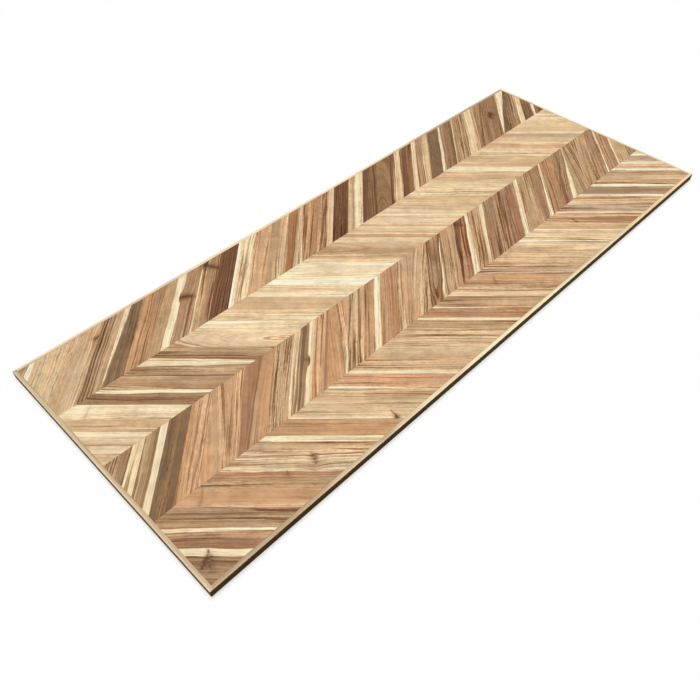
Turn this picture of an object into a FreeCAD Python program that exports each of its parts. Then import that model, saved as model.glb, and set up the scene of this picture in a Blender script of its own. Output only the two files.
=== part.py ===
import FreeCAD, Part
import math
import os

os.makedirs("parts", exist_ok=True)

# Chevron parquet panel of solid wood staves, lying flat with its show face up.
# X runs along the panel, Y across it towards the back and Z up from the underside.
# The origin is in the middle of the underside.

# Driving dimensions in millimetres and degrees
panel_length = 1500.0
panel_width = 600.0
panel_thickness = 18.0
lipping_width = 8.0
arris_radius = 1.5
row_count = 4
stave_width = 34.5
stave_angle = 45.0

# The field of staves that the lipping frames, divided into equal rows
field_length = panel_length - 2 * lipping_width
field_width = panel_width - 2 * lipping_width
row_width = field_width / row_count

# Along the panel: from one joint to the next, and from a joint's middle to its mitred end
joint_pitch = stave_width / math.sin(math.radians(stave_angle))
mitre_reach = row_width / 2 / math.tan(math.radians(stave_angle))

# The joints are set out both ways from the panel's middle until the field's corners are covered
half_count = math.ceil((field_length / 2 + mitre_reach) / joint_pitch)


# A block that is centred on the panel and stands on its underside
def centred_block(length, width):
    corner = FreeCAD.Vector(-length / 2, -width / 2, 0)
    return Part.makeBox(length, width, panel_thickness, corner)


field = centred_block(field_length, field_width)
panel_blank = centred_block(panel_length, panel_width)
eased_panel = panel_blank.makeFillet(arris_radius, panel_blank.Edges)


# One stave: a plank mitred to its row's edges, then trimmed where the field ends
def cut_stave(joint, row_middle, reach):
    front = row_middle - row_width / 2
    back = row_middle + row_width / 2
    corners = [
        FreeCAD.Vector(joint - reach, front, 0),
        FreeCAD.Vector(joint + joint_pitch - reach, front, 0),
        FreeCAD.Vector(joint + joint_pitch + reach, back, 0),
        FreeCAD.Vector(joint + reach, back, 0),
    ]
    outline = Part.makePolygon(corners + corners[:1])
    plank = Part.Face(outline).extrude(FreeCAD.Vector(0, 0, panel_thickness))
    return plank.common(field).Solids


# Every second stave of a row, counted from the left end, so that none touches the next
def every_second_stave(first, row_middle, reach):
    staves = []
    for number in range(first, 2 * half_count, 2):
        joint = (number - half_count) * joint_pitch
        staves.extend(cut_stave(joint, row_middle, reach))
    return Part.makeCompound(staves)


# Rows are numbered from the back, and each leans the other way from the row behind it
for row in range(row_count):
    row_middle = field_width / 2 - (row + 0.5) * row_width
    reach = mitre_reach if row % 2 == 0 else -mitre_reach
    odd_staves = every_second_stave(0, row_middle, reach)
    even_staves = every_second_stave(1, row_middle, reach)
    odd_staves.exportStep(f"parts/row_{row + 1}_odd_staves.step")
    even_staves.exportStep(f"parts/row_{row + 1}_even_staves.step")


# A lipping strip, with the panel's outer edges eased on it
def lipping(length, width, left, front):
    strip = Part.makeBox(length, width, panel_thickness, FreeCAD.Vector(left, front, 0))
    return strip.common(eased_panel)


# The end strips run across the whole width, and the long strips butt between them
left_end_lipping = lipping(lipping_width, panel_width, -panel_length / 2, -panel_width / 2)
right_end_lipping = lipping(lipping_width, panel_width, field_length / 2, -panel_width / 2)
front_lipping = lipping(field_length, lipping_width, -field_length / 2, -panel_width / 2)
back_lipping = lipping(field_length, lipping_width, -field_length / 2, field_width / 2)
left_end_lipping.exportStep("parts/left_end_lipping.step")
right_end_lipping.exportStep("parts/right_end_lipping.step")
front_lipping.exportStep("parts/front_lipping.step")
back_lipping.exportStep("parts/back_lipping.step")
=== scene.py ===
import math
import random

import bpy
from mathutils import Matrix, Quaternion, Vector


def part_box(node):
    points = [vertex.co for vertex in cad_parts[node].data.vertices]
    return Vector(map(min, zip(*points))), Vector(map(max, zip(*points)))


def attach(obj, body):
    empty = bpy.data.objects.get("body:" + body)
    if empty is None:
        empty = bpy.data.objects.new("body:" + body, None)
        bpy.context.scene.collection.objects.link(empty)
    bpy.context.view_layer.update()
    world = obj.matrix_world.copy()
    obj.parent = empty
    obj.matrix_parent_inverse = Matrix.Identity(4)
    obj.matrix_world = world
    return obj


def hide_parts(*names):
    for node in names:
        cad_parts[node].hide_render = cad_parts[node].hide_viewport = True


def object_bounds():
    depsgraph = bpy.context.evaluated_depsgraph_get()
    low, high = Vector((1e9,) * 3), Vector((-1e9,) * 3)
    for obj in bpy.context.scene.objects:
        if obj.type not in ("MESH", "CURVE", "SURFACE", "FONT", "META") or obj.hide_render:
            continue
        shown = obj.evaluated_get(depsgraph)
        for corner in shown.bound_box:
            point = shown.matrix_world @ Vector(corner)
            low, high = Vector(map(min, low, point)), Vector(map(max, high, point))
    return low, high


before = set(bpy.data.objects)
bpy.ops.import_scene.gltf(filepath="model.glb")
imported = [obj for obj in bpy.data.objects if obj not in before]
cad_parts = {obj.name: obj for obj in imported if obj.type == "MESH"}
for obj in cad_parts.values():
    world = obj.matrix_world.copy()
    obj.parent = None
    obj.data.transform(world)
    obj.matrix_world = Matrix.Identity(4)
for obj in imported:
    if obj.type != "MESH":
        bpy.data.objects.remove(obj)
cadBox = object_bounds()

# The wood tones of the panel, as they look in even daylight (red, green, blue out of 255)
woodTones = {
    "ivory": (252, 242, 212),
    "cream": (244, 224, 184),
    "straw": (233, 204, 162),
    "honey": (221, 189, 147),
    "sand": (209, 175, 134),
    "tan": (197, 161, 121),
    "olive": (185, 151, 111),
    "umber": (172, 136, 101),
    "ash": (159, 124, 91),
    "dusk": (164, 136, 110),
    "smoke": (160, 121, 62),
    "walnut": (146, 111, 75),
    "peat": (126, 98, 70),
    "bark": (130, 94, 63),
    "chocolate": (114, 76, 49),
    "plum": (112, 74, 53),
    "ink": (78, 50, 33),
    "rose": (208, 164, 122),
    "amber": (200, 154, 110),
    "clay": (186, 145, 107),
    "cinnamon": (176, 133, 95),
    "russet": (160, 117, 84),
    "copper": (162, 108, 68),
    "rust": (204, 147, 115),
    "mauve": (192, 164, 135),
    "blush": (226, 198, 168),
    "oat": (216, 192, 156),
}


# A tone as the shaders take it, in linear light
def toneColour(name):
    def linear(part):
        share = part / 255
        return share / 12.92 if share <= 0.04045 else ((share + 0.055) / 1.055) ** 2.4

    return tuple(linear(part) for part in woodTones[name]) + (1.0,)


# The sorts of stave in the pile: the tones that one is drawn from, and how strong its stripes are
staveSorts = {
    "sapwood": {"tones": ("cream", "cream", "straw"), "contrast": (0.1, 0.2)},
    "pale": {"tones": ("cream", "straw", "honey"), "contrast": (0.1, 0.3)},
    "honey": {"tones": ("straw", "honey", "sand"), "contrast": (0.15, 0.4)},
    "tan": {"tones": ("sand", "tan", "olive"), "contrast": (0.25, 0.6)},
    "brown": {"tones": ("olive", "umber", "ash"), "contrast": (0.4, 0.8)},
    "dark": {"tones": ("walnut", "bark", "walnut"), "contrast": (0.3, 0.6)},
    "smoky": {"tones": ("ash", "walnut", "walnut"), "contrast": (0.3, 0.45)},
    "darkest": {"tones": ("bark", "chocolate", "chocolate"), "contrast": (0.4, 0.6)},
    "rosy": {"tones": ("rose", "amber", "rose"), "contrast": (0.3, 0.55)},
    "rusty": {"tones": ("amber", "clay", "cinnamon"), "contrast": (0.3, 0.6)},
    "russet": {"tones": ("clay", "cinnamon", "russet"), "contrast": (0.25, 0.4)},
    "pinkish": {"tones": ("blush", "sand", "mauve"), "contrast": (0.25, 0.45)},
    "greyish": {"tones": ("mauve", "tan", "mauve"), "contrast": (0.35, 0.45)},
}


# A stave of some sort. Marks are bands of another tone: (tone, from, to) in mm along the row from the stave's
# left joint, and two more numbers where the band's back end differs from its front end.
# A knot is the trace of a branch: the two ends of its run, each in mm along the row and in mm from the row's
# middle line towards the back, then half its width where it starts, and how dark it is.
# The push is how far a stave's first knot shifts the fibres round it, the lie how far the grain slants and bows
# over the stave's length, all in mm, and the pores how open the grain is.
def stave(sort, marks=(), knots=(), push=0, cut=None, contrast=None, lie=(0, 0), pores=None):
    return {
        "sort": sort,
        "marks": marks,
        "knots": knots,
        "push": push,
        "cut": cut,
        "contrast": contrast,
        "lie": lie,
        "pores": pores,
    }


# How the rows are laid, from the back. Most staves are noted by number, for their sort and for sapwood, dark lines
# and knots. The others are drawn from the sorts of their stretch, which ends at the numbered stave.
rowLayouts = [
    {
        "stretches": [
            (3, ("honey",)),
            (10, ("brown", "rusty")),
            (14, ("honey", "tan")),
            (33, ("brown", "brown", "dark")),
        ],
        "notable": {
            0: stave("tan", marks=[("ivory", 37, 50)]),
            1: stave("honey", contrast=0.2, pores=1.6),
            2: stave("honey", contrast=0.2, pores=2.0),
            3: stave("honey", knots=[(44, 43, 49, 46, 5.5, 1.0)], contrast=0.25),
            4: stave(
                "tan",
                marks=[("chocolate", 1, 6), ("ink", 9, 13), ("bark", 17, 21), ("chocolate", 26, 29)],
                contrast=0.7,
            ),
            5: stave("smoky", marks=[("cream", -2, 1, -2, 14), ("peat", 6, 42, 16, 42)], pores=2.0),
            6: stave("rusty", contrast=0.3),
            7: stave("brown", marks=[("cream", 33, 50)]),
            8: stave(
                "brown",
                marks=[("cream", -2, 4, -2, 8)],
                knots=[(2, 22, 30, 12, 8.0, 1.0), (24, 14, 47, 2, 8.0, 0.5)],
                push=4,
            ),
            9: stave("brown", marks=[("cream", -1, 5)], knots=[(8, 65, 42, 43, 11.0, 1.0)], contrast=0.6),
            10: stave("darkest"),
            11: stave(
                "honey",
                marks=[("ivory", -1, 6, -1, 9), ("tan", 22, 26, 30, 33)],
                cut="rift",
                lie=(6, 0),
            ),
            12: stave("rosy", contrast=0.3),
            14: stave("rusty", marks=[("copper", 8, 26), ("bark", 24, 28), ("sand", 30, 50)], contrast=0.7),
            15: stave("russet", marks=[("cream", -2, 6, -2, -6)], contrast=0.4),
            16: stave("rusty", marks=[("straw", 30, 50)]),
            17: stave("darkest"),
            18: stave("honey", marks=[("umber", 15, 20), ("cream", 24, 36)]),
            19: stave("dark", marks=[("plum", -2, 10, -2, 22)]),
            20: stave("smoky", cut="flat", contrast=0.3),
            21: stave(
                "brown",
                marks=[("plum", -2, 8, -2, 15), ("honey", 14, 40, 18, 38), ("plum", 43, 50)],
            ),
            22: stave("dark", marks=[("plum", -2, 14), ("straw", 33, 51)]),
            23: stave("brown", marks=[("ash", 3, 24), ("honey", 27, 46)], contrast=0.5),
            24: stave("smoky", marks=[("peat", 2, 41), ("cream", 43, 50)], contrast=0.6, pores=2.0),
            25: stave("smoky", marks=[("cream", -3, 6, -3, 2)], contrast=0.7),
            26: stave("brown", marks=[("straw", -2, 4)], contrast=0.5),
            27: stave("tan", marks=[("straw", 8, 34)]),
            28: stave("smoky"),
            29: stave("smoky", knots=[(12, 5, 14, 18, 8.0, 1.0), (14, 18, 28, 6, 8.0, 0.9)], push=6),
            30: stave(
                "dark",
                marks=[("cream", -2, 2, -2, 32), ("peat", 2, 16, 32, 48)],
                contrast=0.6,
                pores=1.6,
            ),
            31: stave("brown", marks=[("straw", 25, 50)]),
            32: stave("dark", marks=[("cream", 37, 50)]),
        },
    },
    {
        "stretches": [(2, ("honey", "tan")), (7, ("brown", "tan")), (33, ("pale", "honey"))],
        "notable": {
            1: stave("honey", marks=[("cream", -1, 8), ("cinnamon", 22, 26)]),
            2: stave("honey", marks=[("cream", -1, 12, -1, 18)]),
            3: stave("pale", knots=[(6, 36, 47, 54, 5.0, 0.25)], contrast=0.2),
            4: stave("brown", marks=[("bark", 17, 20, 17, 34), ("cream", 37, 50)]),
            5: stave("tan", marks=[("umber", 29, 32), ("bark", 44, 48)], contrast=0.5),
            6: stave("tan", marks=[("ash", 32, 36, 21, 25), ("cream", 36, 51, 25, 51)]),
            7: stave("brown", marks=[("straw", -1, 3, -1, 10), ("bark", 3, 8, 10, 15)]),
            8: stave("honey", cut="flat", contrast=0.25),
            9: stave("pale", marks=[("ivory", 49, 50, 34, 50)]),
            11: stave("honey", marks=[("sand", -2, 51)]),
            12: stave("sapwood"),
            13: stave("sapwood", marks=[("ivory", 4, 24)]),
            14: stave("sapwood", marks=[("ivory", 38, 50, 52, 56)]),
            16: stave("tan", cut="flat", contrast=0.25),
            17: stave("honey", marks=[("amber", 25, 41)]),
            18: stave("pale", marks=[("rose", 32, 43)]),
            19: stave("honey", marks=[("cream", 42, 50)], contrast=0.25),
            25: stave("honey", marks=[("cream", 0, 28)]),
            26: stave("honey", marks=[("sand", 8, 40)]),
            27: stave("honey", marks=[("cream", -2, 10, -2, 2)]),
            28: stave("honey", marks=[("rose", 4, 30)]),
            29: stave("honey", marks=[("mauve", 24, 50, 36, 50)]),
            30: stave("pale", marks=[("cream", 8, 16)]),
            31: stave("sapwood"),
            32: stave("pale", knots=[(11, 50, 16, 56, 2.5, 0.5)]),
        },
    },
    {
        "stretches": [
            (3, ("brown",)),
            (8, ("rosy", "rosy", "rusty")),
            (16, ("rosy", "tan")),
            (33, ("brown", "tan")),
        ],
        "notable": {
            1: stave("brown", marks=[("straw", 22, 50)]),
            2: stave("brown", marks=[("bark", -1, 3), ("walnut", 23, 32), ("cream", 32, 50)]),
            3: stave("smoky", marks=[("peat", -2, 19), ("peat", 30, 50)], contrast=0.4, pores=2.0),
            4: stave("rosy", contrast=0.3),
            5: stave("rosy", lie=(26, 0), contrast=0.3),
            6: stave("rosy", marks=[("russet", 36, 51, 26, 51)], lie=(12, 0), contrast=0.35),
            7: stave("rusty", marks=[("russet", -2, 6, -2, 12), ("bark", 5, 8, 11, 15)], contrast=0.25),
            8: stave("tan", contrast=0.7, pores=1.6),
            9: stave(
                "honey",
                marks=[
                    ("walnut", 12, 20, 17, 22),
                    ("chocolate", 23, 30, 22, 34),
                    ("walnut", 31, 39, 34, 41),
                    ("cream", 41, 51, 43, 51),
                ],
                knots=[(44, 3, 49, -4, 4.0, 0.9)],
                push=-6,
            ),
            10: stave("rosy", marks=[("straw", -1, 8), ("russet", 38, 46)], contrast=0.4),
            11: stave("rosy", marks=[("ivory", 45, 51, 53, 54)], lie=(20, 0), contrast=0.35),
            12: stave(
                "tan",
                marks=[("ivory", -1, 8, -2, -6), ("russet", 15, 18), ("bark", 34, 38)],
                contrast=0.8,
            ),
            13: stave("rusty", marks=[("cream", 31, 50)]),
            14: stave("rusty", contrast=0.2),
            15: stave("tan", contrast=0.3),
            16: stave("tan", lie=(-14, 0)),
            17: stave(
                "brown",
                marks=[("bark", 10, 14), ("bark", 24, 36, 26, 30), ("cream", 38, 48, 44, 46)],
                cut="wild",
                contrast=0.8,
            ),
            18: stave("tan", marks=[("bark", 5, 9, -3, 1)]),
            19: stave(
                "russet",
                marks=[("plum", 7, 9, 5, 22), ("cream", 42, 51, 41, 51)],
                knots=[(5, 66, 30, 52, 7.0, 0.6)],
                contrast=0.6,
            ),
            20: stave("brown", marks=[("cream", -2, 12, -2, 3), ("straw", 45, 50)], contrast=0.4),
            21: stave("brown", marks=[("cream", -4, 8)]),
            22: stave("brown", marks=[("bark", 15, 21, 20, 26)], contrast=0.75),
            23: stave("russet", marks=[("cream", 34, 50)], contrast=0.6),
            24: stave("brown", contrast=0.45),
            25: stave("russet", marks=[("ash", 8, 30), ("cream", 33, 50, 43, 50)], contrast=0.7),
            26: stave("rusty", contrast=0.4),
            27: stave("brown", marks=[("bark", 5, 14, 18, 22), ("cream", 29, 50, 49, 50)], lie=(-20, 0)),
            28: stave("brown", marks=[("cream", -2, 2), ("bark", 31, 34, 8, 12)], lie=(16, 0)),
            30: stave("brown", marks=[("cream", 45, 50)]),
            31: stave("brown", marks=[("cream", 44, 50)], contrast=0.4),
        },
    },
    {
        "stretches": [
            (3, ("brown", "rusty")),
            (12, ("tan", "rosy", "greyish")),
            (20, ("tan", "tan", "honey")),
            (33, ("honey", "pinkish", "pinkish")),
        ],
        "notable": {
            0: stave("smoky", contrast=0.3),
            1: stave(
                "smoky",
                marks=[("cream", 30, 47)],
                knots=[(4, -52, 41, -28, 11.0, 0.5), (1, -44, 42, -28, 2.5, 1.0)],
            ),
            2: stave("russet", marks=[("cream", 41, 48, 32, 43)]),
            3: stave("brown", marks=[("russet", 12, 15), ("bark", 33, 37, 29, 33)], contrast=0.7),
            4: stave("rosy", marks=[("amber", 8, 40)], knots=[(2, 44, 46, 66, 6.0, 0.3)], contrast=0.4),
            5: stave(
                "tan",
                marks=[("cinnamon", 27, 46, 19, 44)],
                knots=[(34, -13, 47, -5, 3.5, 0.5)],
                contrast=0.4,
                pores=1.6,
            ),
            6: stave(
                "honey",
                marks=[("cream", -4, 5), ("russet", 42, 47, 30, 34)],
                knots=[(22, -27, 36, -19, 8.0, 0.8), (40, -14, 47, -8, 6.0, 0.5)],
                contrast=0.3,
            ),
            7: stave("tan", marks=[("cream", 31, 48)]),
            8: stave("rusty", contrast=0.2),
            9: stave(
                "honey",
                marks=[("cream", -3, 6)],
                knots=[(3, -63, 12, -57, 7.0, 1.0), (4, -64, 24, -46, 3.0, 0.7)],
            ),
            10: stave("tan", marks=[("honey", 1, 20)], contrast=0.3),
            11: stave("rosy", marks=[("ivory", -3, -1, -2, 8), ("rust", 22, 25), ("rust", 37, 45)]),
            12: stave("tan", marks=[("cream", -2, 11)]),
            16: stave("rusty", marks=[("cream", -1, 11)], contrast=0.6),
            17: stave("tan", marks=[("cream", -3, -2, -1, 6), ("ash", 44, 48)]),
            18: stave("tan", marks=[("straw", 1, 20)]),
            19: stave("rosy", knots=[(3, 22, 48, 50, 3.5, 0.35)], contrast=0.3),
            20: stave("greyish"),
            21: stave("honey", contrast=0.25),
            22: stave("honey", contrast=0.3),
            23: stave("honey", marks=[("ivory", 5, 10)], contrast=0.3),
            24: stave("honey", marks=[("cream", 10, 15), ("rose", 18, 44)], contrast=0.5),
            25: stave("rosy", marks=[("russet", 10, 36, 20, 24)], knots=[(10, 22, 24, 34, 4.0, 0.6)]),
            26: stave("greyish", marks=[("cream", 4, 12)]),
            27: stave("tan", contrast=0.35),
            28: stave(
                "greyish",
                marks=[("cream", -2, 10), ("dusk", 12, 50), ("ash", 28, 44, 26, 34)],
                knots=[(-4, 14, 4, 19, 3.0, 0.8)],
            ),
            29: stave("tan", marks=[("ivory", 8, 20)]),
            30: stave("tan", contrast=0.3),
            31: stave("honey", marks=[("ivory", 5, 17), ("rust", 26, 30)]),
            32: stave("pinkish", marks=[("ivory", -1, 7), ("clay", 22, 27)]),
            33: stave("honey", marks=[("ivory", 2, 14)]),
        },
    },
]
stavesInRow = 34


# The stave with this number: a noted one, or a plain one from its stretch
def pickStave(layout, number, draw):
    sorts = next(sorts for last, sorts in layout["stretches"] if number <= last)
    plain = stave(draw.choice(sorts))
    return layout["notable"].get(number, plain)


# A value inside a material, so that sums read as plain Python
class Wire:
    def __init__(self, finish, socket):
        self.finish = finish
        self.socket = socket

    def math(self, operation, *others):
        inputs = dict(enumerate((self,) + others))
        return self.finish.add("ShaderNodeMath", {"operation": operation}, inputs)

    def __add__(self, other):
        return self.math("ADD", other)

    def __sub__(self, other):
        return self.math("SUBTRACT", other)

    def __rsub__(self, other):
        return self.finish.add("ShaderNodeMath", {"operation": "SUBTRACT"}, {0: other, 1: self})

    def __mul__(self, other):
        return self.math("MULTIPLY", other)

    def __truediv__(self, other):
        return self.math("DIVIDE", other)

    __radd__ = __add__
    __rmul__ = __mul__

    # 0 below the first value, 1 above the second, with a soft step between
    def rise(self, low, high):
        inputs = {"Value": self, "From Min": low, "From Max": high}
        return self.finish.add("ShaderNodeMapRange", {"interpolation_type": "SMOOTHSTEP"}, inputs)


# The nodes of a material or of the surround
class Finish:
    def __init__(self, owner):
        owner.use_nodes = True
        self.owner = owner
        self.tree = owner.node_tree
        self.tree.nodes.clear()

    def add(self, kind, settings, inputs, output=0):
        node = self.tree.nodes.new(kind)
        for key, value in settings.items():
            setattr(node, key, value)
        for key, value in inputs.items():
            if isinstance(value, Wire):
                self.tree.links.new(value.socket, node.inputs[key])
            else:
                node.inputs[key].default_value = value
        return Wire(self, node.outputs[output]) if node.outputs else None

    def attribute(self, name, output="Vector"):
        return self.add("ShaderNodeAttribute", {"attribute_name": name}, {}, output)

    def split(self, vector):
        return [self.add("ShaderNodeSeparateXYZ", {}, {0: vector}, axis) for axis in range(3)]

    def join(self, x, y, z):
        return self.add("ShaderNodeCombineXYZ", {}, {0: x, 1: y, 2: z})

    def vectorMath(self, operation, first, second):
        return self.add("ShaderNodeVectorMath", {"operation": operation}, {0: first, 1: second})

    def scaled(self, colour, factor):
        return self.add("ShaderNodeVectorMath", {"operation": "SCALE"}, {0: colour, "Scale": factor})

    def blend(self, factor, first, second, kind="MIX"):
        settings = {"data_type": "RGBA", "blend_type": kind}
        return self.add("ShaderNodeMix", settings, {0: factor, 6: first, 7: second}, 2)

    # A cloudy pattern from 0 to 1
    def noise(self, place, shift, scale, detail, roughness):
        moved = self.vectorMath("ADD", self.vectorMath("MULTIPLY", place, scale), shift)
        inputs = {"Vector": moved, "Scale": 1.0, "Detail": detail, "Roughness": roughness}
        return self.add("ShaderNodeTexNoise", {"noise_dimensions": "3D"}, inputs)

    # 1 where something is seen straight on, in a reflection or through glass
    def seen(self):
        kinds = ("Camera", "Glossy", "Transmission")
        rays = [self.add("ShaderNodeLightPath", {}, {}, f"Is {kind} Ray") for kind in kinds]
        return rays[0].math("MAXIMUM", rays[1]).math("MAXIMUM", rays[2])

    def close(self, shader, kind="ShaderNodeOutputMaterial"):
        self.add(kind, {}, {"Surface": shader})
        return self.owner


# The figure in the wood, in mm. A pattern is how often it changes per mm across the grain, along it and downwards,
# then its detail and its roughness.
staveFigure = {
    "wander": 6.0,  # how far the fibres drift over a hand's length
    "wanderPattern": ((0.012, 0.011, 0.02), 2.0, 0.5),
    "ripple": 1.2,  # and over a finger's width
    "ripplePattern": ((0.05, 0.03, 0.05), 2.0, 0.5),
    "bandPattern": ((0.11, 0.003, 0.01), 2.0, 0.5),  # broad, middling and fine growth rings
    "stripePattern": ((0.36, 0.005, 0.02), 2.0, 0.5),
    "linePattern": ((0.9, 0.012, 0.02), 2.0, 0.6),
    "ringShares": (0.13, 0.60, 0.27),  # how much each of the three counts
    "strength": 1.62,  # of the stripes, on all staves
    "lateLimits": (0.51, 0.57),  # where a ring turns dark
    "lateWood": (0.40, 0.28, 0.18, 1.0),  # dark stripes, as a share of the tone beside them
    "earlyLimits": (0.43, 0.49),  # and where pale
    "earlyWood": (1.30, 1.40, 1.52, 1.0),  # pale stripes, likewise
    "gatherPattern": ((0.06, 0.003, 0.02), 1.0, 0.5),  # stripes come in groups
    "gatherLimits": (0.40, 0.60),
    "gatherStrength": (0.4, 1.3),  # between the groups, and how much more in them
    "turnPattern": ((0.05, 0.006, 0.05), 1.0, 0.5),  # patches of redder or greyer wood
    "redLimits": (0.48, 0.66),
    "redWood": (1.04, 0.97, 0.93, 1.0),
    "greyLimits": (0.34, 0.52),
    "greyWood": (0.98, 1.0, 1.02, 1.0),
    "edgeFray": 1.5,  # how ragged the edge of sapwood or of a dark line is
    "markCalm": 0.6,  # how far a mark hides the stripes
    "stripeLift": 0.07,  # striped staves are a little lighter
    "lineShade": (0.2, 0.42),  # light and dark of the fine lines, and how much more on striped staves
    "fibrePattern": ((2.4, 0.06, 2.4), 2.0, 0.6),
    "fibreShade": 0.32,
    "mottlePattern": ((0.05, 0.035, 0.05), 3.0, 0.6),
    "mottleShade": 0.65,
    "wanderShade": 0.35,
    "fleckPattern": ((0.22, 0.11, 0.22), 3.0, 0.65),
    "fleckShade": 0.65,
    "porePattern": ((0.75, 0.07, 0.75), 1.0, 0.5),
    "poreLimits": (0.54, 0.68),
    "poreShade": 0.27,
    "openGrain": (0.45, 0.6),  # how far flecks and pores show, and how much more on striped staves
    "palest": (0.97, 0.92, 0.74),  # the whitest that sapwood gets
    "crookPattern": ((0.06, 0.06, 0.06), 1.0, 0.5),
    "knotBend": 7.0,  # how crooked a branch trace is
    "knotTaper": 0.6,  # how much thinner its far end is
    "knotReach": 16.0,  # how far from a knot the fibres are pushed
    "knotSpread": 6.0,  # how far out they bend round it, in half widths
    "knotFlow": 0.5,  # and how much
    "knotCore": 1.0,  # where the bend dies out in the middle
    "specklePattern": ((0.28, 0.20, 0.28), 3.0, 0.7),
    "knotRagged": 9.0,  # how broken its outline is
    "knotLeast": 0.4,  # added to its half width
    "knotHaze": (0.3, 2.4),  # shaded fibres, in half widths from its middle
    "knotHazeShare": 0.8,
    "knotShade": (0.52, 0.42, 0.34, 1.0),
    "knotHeart": (0.1, 0.9),  # its dark heart, with lighter gaps
    "knotGaps": (0.40, 0.54),
    "knotGapShare": 0.7,  # how much of the dark is lost in them
    "roughness": 0.55,
    "fibreRough": 0.15,
    "poreRough": 0.1,
    "gloss": 0.1,
    "bump": 0.25,
    "bumpDepth": 0.0003,  # metres
    "bumpShare": 0.5,  # of the fibres and of the pores in it
}


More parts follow.
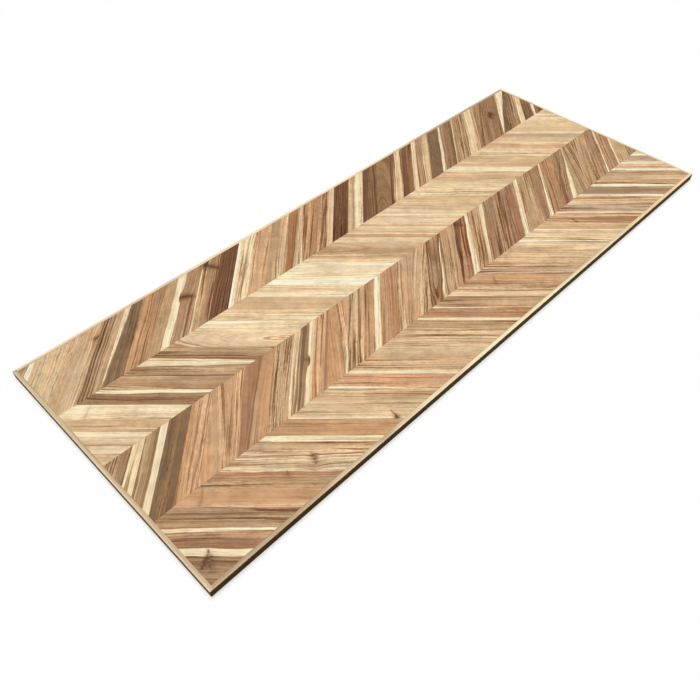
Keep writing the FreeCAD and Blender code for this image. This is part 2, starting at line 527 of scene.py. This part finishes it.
# Planed and oiled heartwood, read from what each stave carries
def staveFinish():
    look = staveFigure
    finish = Finish(bpy.data.materials.new("oiled_staves"))
    grain = finish.attribute("grain")
    seed = finish.attribute("seed")
    across, along, depth = finish.split(grain)
    pithCentre, pithDepth, pithTilt = finish.split(finish.attribute("pith"))
    middle, softness, contrast = finish.split(finish.attribute("blend"))
    contrast = contrast * look["strength"]
    slant, bow, push = finish.split(finish.attribute("lie"))
    fineness, pores, flecks = finish.split(finish.attribute("habit"))
    reach = along / (2 * staveSize["grainHalf"]) + 0.5

    # How far a point lies from each branch trace, and the fibres that run round it
    crook = (finish.noise(grain, seed, *look["crookPattern"]) - 0.5) * look["knotBend"]
    traces = []
    flow = 0.0
    for number in range(staveSize["knotSlots"]):
        startAcross, startAlong, halfWidth = finish.split(finish.attribute(f"knotStart{number}"))
        endAcross, endAlong, depthThere = finish.split(finish.attribute(f"knotEnd{number}"))
        runAcross = endAcross - startAcross
        runAlong = endAlong - startAlong
        fromAcross = across - startAcross
        fromAlong = along - startAlong
        runSquared = runAcross * runAcross + runAlong * runAlong
        run = (fromAcross * runAcross + fromAlong * runAlong) / runSquared
        run = run.math("MAXIMUM", 0.0).math("MINIMUM", 1.0)
        offAcross = fromAcross - run * runAcross
        offAlong = fromAlong - run * runAlong + crook
        away = (offAcross * offAcross + offAlong * offAlong).math("SQRT")
        taper = halfWidth * (1 - run * look["knotTaper"])
        bend = offAcross / (away + look["knotCore"]) * (1 - away.rise(0.0, taper * look["knotSpread"]))
        flow = flow + bend * taper * look["knotFlow"]
        if number == 0:
            flow = flow - (1 - away.rise(0.0, look["knotReach"])) * push
        traces.append((away, taper, depthThere))

    # Fibres that drift along the stave
    wander = finish.noise(grain, seed, *look["wanderPattern"]) - 0.5
    ripple = finish.noise(grain, seed, *look["ripplePattern"]) - 0.5
    drifted = across + wander * look["wander"] + ripple * look["ripple"] - flow
    fibre = drifted + (reach - 0.5) * slant + (reach - 0.5) * (reach - 0.5) * bow

    # Growth rings round a pith that lies beside or below the stave
    ringAcross = fibre - pithCentre
    ringDepth = pithDepth + pithTilt * along + depth
    ring = (ringAcross * ringAcross + ringDepth * ringDepth).math("SQRT")
    ringPlace = finish.join(ring * fineness, along, depth)
    band = finish.noise(ringPlace, seed, *look["bandPattern"])
    stripe = finish.noise(ringPlace, seed, *look["stripePattern"])
    line = finish.noise(ringPlace, seed, *look["linePattern"])
    fibreNoise = finish.noise(grain, seed, *look["fibrePattern"])
    pore = finish.noise(grain, seed, *look["porePattern"]).rise(*look["poreLimits"]) * pores
    fleck = (finish.noise(grain, seed, *look["fleckPattern"]) - 0.5) * flecks
    mottle = finish.noise(grain, seed, *look["mottlePattern"]) - 0.5
    gathered = finish.noise(ringPlace, seed, *look["gatherPattern"]).rise(*look["gatherLimits"])
    turn = finish.noise(ringPlace, seed, *look["turnPattern"])
    between, more = look["gatherStrength"]
    contrast = contrast * (between + gathered * more)

    # Heartwood that changes from one side of the stave to the other
    edge = drifted + (line - 0.5) * look["edgeFray"]
    crossed = edge.rise(middle - softness, middle + softness)
    colour = finish.blend(crossed, finish.attribute("heart", "Color"), finish.attribute("second", "Color"))
    colour = finish.blend(turn.rise(*look["redLimits"]), colour, look["redWood"], "MULTIPLY")
    colour = finish.blend(1 - turn.rise(*look["greyLimits"]), colour, look["greyWood"], "MULTIPLY")

    # Sapwood, streaks and dark lines
    plain = 1.0
    for number in range(staveSize["markSlots"]):
        nearFrom, nearTo, strength = finish.split(finish.attribute(f"markFront{number}"))
        farFrom, farTo, soft = finish.split(finish.attribute(f"markBack{number}"))
        start = nearFrom + (farFrom - nearFrom) * reach
        end = nearTo + (farTo - nearTo) * reach
        inside = edge.rise(start - soft, start + soft) * (1 - edge.rise(end - soft, end + soft)) * strength
        colour = finish.blend(inside, colour, finish.attribute(f"markTone{number}", "Color"))
        plain = (1 - inside * look["markCalm"]) * plain

    # Stripes of early and late wood
    bandShare, stripeShare, lineShare = look["ringShares"]
    figure = band * bandShare + stripe * stripeShare + line * lineShare
    dark = figure.rise(*look["lateLimits"]) * contrast * plain
    colour = finish.blend(dark, colour, look["lateWood"], "MULTIPLY")
    pale = (1 - figure.rise(*look["earlyLimits"])) * contrast * plain
    colour = finish.blend(pale, colour, look["earlyWood"], "MULTIPLY")

    # Knots: shaded fibres round a dark, broken heart
    speckle = finish.noise(grain, seed, *look["specklePattern"])
    gaps = 1 - look["knotGapShare"] + speckle.rise(*look["knotGaps"]) * look["knotGapShare"]
    for away, taper, depthThere in traces:
        near = (away + (speckle - 0.5) * look["knotRagged"]) / (taper + look["knotLeast"])
        shaded = (1 - near.rise(*look["knotHaze"])) * depthThere
        colour = finish.blend(shaded * look["knotHazeShare"], colour, look["knotShade"], "MULTIPLY")
        heart = (1 - near.rise(*look["knotHeart"])) * gaps * depthThere
        colour = finish.blend(heart, colour, toneColour("ink"))

    # Light and dark of lines, fibres, flecks and pores
    plainLines, stripedLines = look["lineShade"]
    plainOpen, stripedOpen = look["openGrain"]
    level = 1.0 + contrast * look["stripeLift"] + (line - 0.5) * (plainLines + contrast * stripedLines)
    level = level + (fibreNoise - 0.5) * look["fibreShade"] + mottle * look["mottleShade"]
    level = level + wander * look["wanderShade"]
    grainOpen = fleck * look["fleckShade"] - pore * look["poreShade"]
    level = level + grainOpen * plain * (plainOpen + contrast * stripedOpen)
    colour = finish.vectorMath("MINIMUM", finish.scaled(colour, level), look["palest"])

    height = fibreNoise * look["bumpShare"] - pore * look["bumpShare"]
    inputs = {"Strength": look["bump"], "Distance": look["bumpDepth"], "Height": height}
    rough = look["roughness"] + (fibreNoise - 0.5) * look["fibreRough"] + pore * look["poreRough"]
    shader = finish.add(
        "ShaderNodeBsdfPrincipled",
        {},
        {
            "Base Color": colour,
            "Roughness": rough,
            "Specular IOR Level": look["gloss"],
            "Normal": finish.add("ShaderNodeBump", {}, inputs),
        },
    )
    return finish.close(shader)


# The staves, in mm and degrees. Width and angle are those of the solids, and the arris is only in the scene.
staveSize = {
    "width": 34.5,
    "angle": 45.0,
    "arris": 0.25,
    "markSlots": 4,  # the most marks on one stave
    "knotSlots": 2,  # and the most knots
    "grainHalf": 103.0,  # half a stave's length along its grain
}
mm = 0.001
sine = math.sin(math.radians(staveSize["angle"]))
cosine = math.cos(math.radians(staveSize["angle"]))
jointPitch = staveSize["width"] / sine

# How the log was sawn: where the pith lies from the stave's left joint, how deep, and how steeply it dips
sawing = {
    "quarter": ((-160, -90), (0, 40), (0.0, 0.0)),
    "rift": ((-70, -20), (25, 60), (-0.05, 0.05)),
    "flat": ((4, 30), (10, 30), (-0.16, 0.16)),
    "wild": ((8, 26), (12, 22), (-0.1, 0.1)),
}

# What differs by chance from stave to stave, in mm where it is a length
staveChance = {
    "rowSeed": 100,  # keeps the draws of the rows apart
    "cuts": ["quarter", "quarter", "rift"],
    "pattern": (0, 400),  # where in the patterns a stave lies
    "middle": (0.35, 0.65),  # where its two tones meet, as a share of its width
    "softness": (3, 9),  # and over what width
    "slant": (-4, 4),
    "bow": (-8, 8),
    "fineness": (0.8, 1.4),  # of the growth rings
    "pores": (0.5, 1.1),
    "flecks": (0.7, 1.3),
}

# Marks and their soft edges, in mm, and what a stave carries, well off its face, where it has no mark or knot
staveMarks = {
    "strength": 0.9,
    "softShare": 0.25,  # how much of a mark's width its soft edge takes
    "softest": 1.2,
    "hardest": 0.4,
    "noMark": ("cream", -60, -50),
    "noKnot": (-400, 0, -380, 0, 0, 0),
}


def deselectAll():
    for thing in bpy.context.selected_objects:
        thing.select_set(False)


# Cuts what is open in edit mode along an upright plane and closes the cut
def sawOff(place, direction):
    bpy.ops.mesh.select_all(action="SELECT")
    bpy.ops.mesh.bisect(plane_co=place, plane_no=direction, use_fill=True, clear_outer=True)


# A plank at the row's angle through the panel's middle, mitred to the row's front and back
def mitredPlank(low, high, lean):
    deselectAll()
    middleY = (low.y + high.y) / 2
    centre = Vector((jointPitch * mm / 2, middleY, (low.z + high.z) / 2))
    length = 2 * (high.y - low.y) / sine
    bpy.ops.mesh.primitive_cube_add(size=1.0, location=centre)
    plank = bpy.context.active_object
    plank.scale = (length, staveSize["width"] * mm, high.z - low.z)
    plank.rotation_euler = (0.0, 0.0, lean * math.radians(staveSize["angle"]))
    bpy.ops.object.transform_apply(location=True, rotation=True, scale=True)
    bpy.ops.object.mode_set(mode="EDIT")
    sawOff((0.0, low.y, 0.0), (0.0, -1.0, 0.0))
    sawOff((0.0, high.y, 0.0), (0.0, 1.0, 0.0))
    bpy.ops.object.mode_set(mode="OBJECT")
    return plank


# A copy of the plank at its joint, trimmed at the field's ends, with its arrises just broken
def fittedStave(plank, joint, low, high):
    deselectAll()
    piece = plank.copy()
    piece.data = plank.data.copy()
    bpy.context.collection.objects.link(piece)
    piece.select_set(True)
    bpy.context.view_layer.objects.active = piece
    bpy.ops.object.mode_set(mode="EDIT")
    bpy.ops.mesh.select_all(action="SELECT")
    bpy.ops.transform.translate(value=(joint * mm, 0.0, 0.0))
    sawOff((low.x, 0.0, 0.0), (-1.0, 0.0, 0.0))
    sawOff((high.x, 0.0, 0.0), (1.0, 0.0, 0.0))
    bpy.ops.mesh.select_all(action="SELECT")
    bpy.ops.mesh.bevel(offset=staveSize["arris"] * mm, segments=1, affect="EDGES")
    bpy.ops.object.mode_set(mode="OBJECT")
    return piece


def setAttribute(mesh, name, kind, values):
    layer = mesh.attributes.new(name, kind, "POINT")
    field = "color" if kind == "FLOAT_COLOR" else "vector"
    layer.data.foreach_set(field, [part for value in values for part in value])


# From mm along the row and mm up from its middle line, to mm across and along the grain
def grainPlace(x, y, lean):
    return x * sine - lean * y * cosine, lean * x * cosine + y * sine


# Writes on a stave's mesh what the finish reads: its own grain coordinates, tones and marks
def carryGrain(mesh, line, joint, middleY, topZ, lean, draw):
    count = len(mesh.vertices)
    grain = []
    for vertex in mesh.vertices:
        x = vertex.co.x / mm - joint
        y = (vertex.co.y - middleY) / mm
        grain.append(grainPlace(x, y, lean) + (topZ / mm - vertex.co.z / mm,))
    setAttribute(mesh, "grain", "FLOAT_VECTOR", grain)

    def same(name, value, kind="FLOAT_VECTOR"):
        setAttribute(mesh, name, kind, [value] * count)

    def chance(name):
        return draw.uniform(*staveChance[name])

    centre, deep, tilt = sawing[line["cut"] or draw.choice(staveChance["cuts"])]
    same("seed", tuple(chance("pattern") for axis in range(3)))
    same("pith", (draw.uniform(*centre), draw.uniform(*deep), draw.uniform(*tilt)))
    sort = staveSorts[line["sort"]]
    contrast = draw.uniform(*sort["contrast"])
    same("blend", (staveSize["width"] * chance("middle"), chance("softness"), line["contrast"] or contrast))
    same("heart", toneColour(draw.choice(sort["tones"])), "FLOAT_COLOR")
    same("second", toneColour(draw.choice(sort["tones"])), "FLOAT_COLOR")
    slant, bow = line["lie"]
    same("lie", (slant + chance("slant"), bow + chance("bow"), line["push"]))
    same("habit", (chance("fineness"), line["pores"] or chance("pores"), chance("flecks")))
    for number in range(staveSize["knotSlots"]):
        knot = line["knots"][number] if number < len(line["knots"]) else staveMarks["noKnot"]
        startRow, startUp, endRow, endUp, halfWidth, depth = knot
        same(f"knotStart{number}", grainPlace(startRow + lean * startUp, startUp, lean) + (halfWidth,))
        same(f"knotEnd{number}", grainPlace(endRow + lean * endUp, endUp, lean) + (depth,))
    for number in range(staveSize["markSlots"]):
        mark = line["marks"][number] if number < len(line["marks"]) else staveMarks["noMark"]
        tone, start, end, *back = mark
        backStart, backEnd = back or (start, end)
        soft = min(staveMarks["softest"], (end - start) * staveMarks["softShare"])
        soft = max(soft, staveMarks["hardest"])
        same(f"markFront{number}", (start * sine, end * sine, staveMarks["strength"]))
        same(f"markBack{number}", (backStart * sine, backEnd * sine, soft))
        same(f"markTone{number}", toneColour(tone), "FLOAT_COLOR")


def joinStaves(name, staves):
    deselectAll()
    for piece in staves:
        piece.select_set(True)
    bpy.context.view_layer.objects.active = staves[0]
    bpy.ops.object.join()
    joined = bpy.context.active_object
    joined.name = name
    joined.data.name = name
    return joined


stavesWood = staveFinish()
for row, layout in enumerate(rowLayouts):
    names = [f"row_{row + 1}_odd_staves", f"row_{row + 1}_even_staves"]
    low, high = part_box(names[0])
    lean = 1 if row % 2 == 0 else -1
    plank = mitredPlank(low, high, lean)
    halves = ([], [])
    for number in range(stavesInRow):
        joint = (number - stavesInRow // 2) * jointPitch
        piece = fittedStave(plank, joint, low, high)
        draw = random.Random(staveChance["rowSeed"] * row + number)
        line = pickStave(layout, number, draw)
        carryGrain(piece.data, line, joint, (low.y + high.y) / 2, high.z, lean, draw)
        halves[number % 2].append(piece)
    bpy.data.objects.remove(plank)
    for name, staves in zip(names, halves):
        joined = joinStaves(name.replace("staves", "chevron"), staves)
        joined.data.materials.clear()
        joined.data.materials.append(stavesWood)
        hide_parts(name)
        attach(joined, "root")
    print("row", row + 1, "laid")


# The lipping: straight-grained strips, each with three tones, from its left or front end to its other end.
# Lengths are in metres, and a pattern is how often it changes per metre, then its detail and its roughness.
lippingWood = {
    "front_lipping": ("mauve", "cream", "straw"),
    "back_lipping": ("blush", "cream", "mauve"),
    "left_end_lipping": ("oat", "oat", "oat"),
    "right_end_lipping": ("cream", "cream", "blush"),
    # Upright outer faces take this darker brown instead of the strip's own tones, on every side alike
    "outerFace": "smoke",
    "outerLimits": (0.25, 0.65),  # how far a face looks up or down before it takes the strip's own tones
    "firstLimits": (-0.75, -0.15),  # where the first tone ends, from -1 to 1 along the strip
    "lastLimits": (0.15, 0.75),  # and the last one starts
    "change": 0.7,  # how much the tone changes from place to place
    "arris": 0.0035,  # painted highlight: a pale band this wide along the eased outer edge
    "joint": 0.0014,  # dark beside the staves
    "highlightAndJoint": 0.25,  # how pale the painted highlight is and how dark the joint line is
    "grainAcross": 900.0,  # how often the grain changes per metre
    "grainAlong": 9.0,
    "driftPattern": ((9.0, 9.0, 9.0), 2.0, 0.5),
    "driftShade": 0.6,
    "grainDetail": (2.0, 0.6),
    "bandScale": 0.3,  # as a share of the grain
    "bandShade": 0.9,
    "fibreScale": 1.2,
    "fibreShade": 0.5,
    "fibreRough": 0.15,
    "patternShift": (3.0, 5.0, 7.0),
    "roughness": 0.55,
    "gloss": 0.03,
    "bump": 0.2,
    "bumpDepth": 0.0003,
}
# The axis that each strip runs along, X (0) or Y (1)
lippingRun = {"front_lipping": 0, "back_lipping": 0, "left_end_lipping": 1, "right_end_lipping": 1}


# Straight grain along the strip
def lippingFinish(name, lengthAxis, low, high):
    look = lippingWood
    finish = Finish(bpy.data.materials.new(name + "_wood"))
    place = finish.add("ShaderNodeTexCoord", {}, {}, "Object")
    first, middle, last = [toneColour(tone) for tone in look[name]]
    axes = finish.split(place)
    half = high[lengthAxis]
    length = axes[lengthAxis] / half
    side = 1 - lengthAxis
    outer = cadBox[1][side]
    inwards = outer - axes[side].math("ABSOLUTE")
    width = high[side] - low[side]
    stretch = [look["grainAcross"]] * 3
    stretch[lengthAxis] = look["grainAlong"]
    shiftX, shiftY, shiftZ = look["patternShift"]
    shift = (shiftX + half, shiftY + low[side], shiftZ)
    drift = finish.noise(place, shift, *look["driftPattern"]) - 0.5
    bands = [look["bandScale"] * part for part in stretch]
    band = finish.noise(place, shift, bands, *look["grainDetail"])
    fibres = [look["fibreScale"] * part for part in stretch]
    fibre = finish.noise(place, shift, fibres, *look["grainDetail"])
    moved = length + drift * look["change"]
    colour = finish.blend(moved.rise(*look["firstLimits"]), first, middle)
    colour = finish.blend(moved.rise(*look["lastLimits"]), colour, last)
    # Painted highlight along the eased outer edge, and a dark glue line beside the staves
    paintedHighlight = 1 - inwards.rise(look["arris"] * 0.5, look["arris"])
    glued = inwards.rise(width - look["joint"], width - look["joint"] * 0.5)
    level = 1.0 + drift * look["driftShade"] + (band - 0.5) * look["bandShade"]
    level = level + (fibre - 0.5) * look["fibreShade"]
    level = level + paintedHighlight * look["highlightAndJoint"] - glued * look["highlightAndJoint"]
    # Upright faces darker brown than the top and bottom
    facing = finish.split(finish.add("ShaderNodeNewGeometry", {}, {}, "Normal"))[2].math("ABSOLUTE")
    colour = finish.blend(1 - facing.rise(*look["outerLimits"]), colour, toneColour(look["outerFace"]))
    colour = finish.vectorMath("MINIMUM", finish.scaled(colour, level), staveFigure["palest"])
    inputs = {"Strength": look["bump"], "Distance": look["bumpDepth"], "Height": fibre}
    shader = finish.add(
        "ShaderNodeBsdfPrincipled",
        {},
        {
            "Base Color": colour,
            "Roughness": look["roughness"] + (fibre - 0.5) * look["fibreRough"],
            "Specular IOR Level": look["gloss"],
            "Normal": finish.add("ShaderNodeBump", {}, inputs),
        },
    )
    return finish.close(shader)


for name, lengthAxis in lippingRun.items():
    wood = lippingFinish(name, lengthAxis, *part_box(name))
    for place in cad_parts[name].material_slots:
        place.link = "OBJECT"
        place.material = wood
print("lipping finished")


# The stage: a pale floor that reads white, and soft light from behind and above
stageSet = {
    "floorSize": 40.0,  # metres
    "floorGlow": 0.7,  # how far the floor's white is its own, so that the shadow stays light
    "floorBounce": 0.08,
    "ambient": 0.06,
    "sun": 3.0,
    "sunSpread": 25.0,  # degrees
    "sunHeight": 76.0,  # degrees above the floor
    "sunBearing": 60.0,  # degrees from +X towards +Y
    "sunDistance": 4.0,  # metres
}


def paleFloor():
    deselectAll()
    bpy.ops.mesh.primitive_plane_add(size=stageSet["floorSize"], location=(0.0, 0.0, cadBox[0].z))
    floor = bpy.context.active_object
    floor.name = "floor"
    finish = Finish(bpy.data.materials.new("pale_floor"))
    seen = finish.seen()
    bounce = (stageSet["floorBounce"],) * 3 + (1.0,)
    white = (1.0, 1.0, 1.0, 1.0)
    matt = finish.add("ShaderNodeBsdfDiffuse", {}, {"Color": finish.blend(seen, bounce, white)})
    glow = finish.add("ShaderNodeEmission", {}, {"Color": white, "Strength": 1.0})
    shader = finish.add("ShaderNodeMixShader", {}, {0: seen * stageSet["floorGlow"], 1: matt, 2: glow})
    floor.data.materials.append(finish.close(shader))


def whiteSurround():
    finish = Finish(bpy.data.worlds.new("surround"))
    ambient = stageSet["ambient"]
    strength = finish.seen() * (1 - ambient) + ambient
    shader = finish.add("ShaderNodeBackground", {}, {"Color": (1.0, 1.0, 1.0, 1.0), "Strength": strength})
    bpy.context.scene.world = finish.close(shader, "ShaderNodeOutputWorld")


def highSun():
    deselectAll()
    bearing = math.radians(stageSet["sunBearing"])
    height = math.radians(stageSet["sunHeight"])
    level = math.cos(height)
    towards = Vector((math.cos(bearing) * level, math.sin(bearing) * level, math.sin(height)))
    bpy.ops.object.light_add(type="SUN", location=towards * stageSet["sunDistance"])
    lamp = bpy.context.active_object
    lamp.rotation_euler = towards.to_track_quat("Z", "Y").to_euler()
    lamp.data.energy = stageSet["sun"]
    lamp.data.angle = math.radians(stageSet["sunSpread"])


paleFloor()
whiteSurround()
highSun()

# The camera stands at the left front corner and looks down on the panel
cameraSet = {
    "place": (-0.8884, -0.7461, 1.0195),
    "aim": (-0.2423, -0.1375, 0.018),
    "roll": 1.06,  # degrees
    "lens": 35.76,  # mm, and the sensor too
    "sensor": 36.0,
    "shift": (-0.03, 0.0),
}


def photoCamera():
    deselectAll()
    bpy.ops.object.camera_add(location=cameraSet["place"])
    camera = bpy.context.active_object
    look = Vector(cameraSet["aim"]) - Vector(cameraSet["place"])
    turn = look.to_track_quat("-Z", "Y") @ Quaternion((0.0, 0.0, 1.0), math.radians(cameraSet["roll"]))
    camera.rotation_euler = turn.to_euler()
    camera.data.sensor_width = cameraSet["sensor"]
    camera.data.lens = cameraSet["lens"]
    camera.data.shift_x, camera.data.shift_y = cameraSet["shift"]
    bpy.context.scene.camera = camera


photoCamera()
bpy.context.scene.view_settings.view_transform = "Standard"
print("stage, light and camera set")
